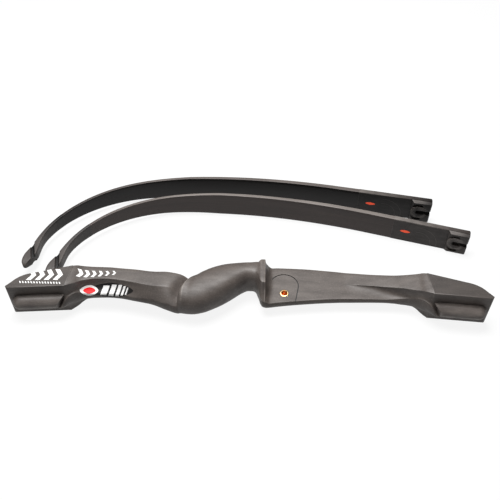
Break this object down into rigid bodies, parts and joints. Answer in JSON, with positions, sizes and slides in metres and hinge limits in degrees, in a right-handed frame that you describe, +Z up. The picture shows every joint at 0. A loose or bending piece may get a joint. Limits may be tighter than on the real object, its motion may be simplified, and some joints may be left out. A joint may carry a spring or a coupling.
{
  "type": "take-down recurve bow",
  "caption": "Take-down recurve bow laid out in its assemblies: a black moulded riser with limb bolts, and an upper and a lower limb.",
  "frame": {"origin": "middle of the whole layout, seen from above, on the surface that it lies on", "axes": "+X along the riser to its upper end, +Y from the riser to the limbs behind it, +Z up from the surface"},
  "size_m": [0.568, 0.2204, 0.0478],
  "materials": {
    "riser_nylon": "moulded glass-filled nylon, semi-matt black",
    "limb_laminate": "pultruded glass-fibre laminate, semi-matt black",
    "limb_nylon": "moulded nylon, semi-matt black",
    "bushing_brass": "turned brass, bright",
    "insert_brass": "knurled brass, plain",
    "bolt_steel": "zinc-plated steel"
  },
  "bodies": {
    "riser_body": {"riser": "riser_nylon", "plunger_bushing": "bushing_brass", "upper_bolt_insert": "insert_brass", "lower_bolt_insert": "insert_brass"},
    "upper_bolt": {"upper_limb_bolt": "bolt_steel"},
    "lower_bolt": {"lower_limb_bolt": "bolt_steel"},
    "upper_limb": {"upper_limb_blade": "limb_laminate", "upper_limb_butt": "limb_nylon", "upper_limb_tip": "limb_nylon"},
    "lower_limb": {"lower_limb_blade": "limb_laminate", "lower_limb_butt": "limb_nylon", "lower_limb_tip": "limb_nylon"}
  },
  "joints": [
    {"name": "upper_bolt_out", "type": "slide", "parent": "riser_body", "child": "upper_bolt", "axis": [0.2773, 0.9608, 0], "range_m": [0, 0.006]},
    {"name": "lower_bolt_out", "type": "slide", "parent": "riser_body", "child": "lower_bolt", "axis": [-0.2773, 0.9608, 0], "range_m": [0, 0.006]},
    {"name": "upper_limb_lift", "type": "slide", "parent": "riser_body", "child": "upper_limb", "axis": [0, 0, 1], "range_m": [0, 0.08]},
    {"name": "lower_limb_lift", "type": "slide", "parent": "riser_body", "child": "lower_limb", "axis": [0, 0, 1], "range_m": [0, 0.08]}
  ]
}
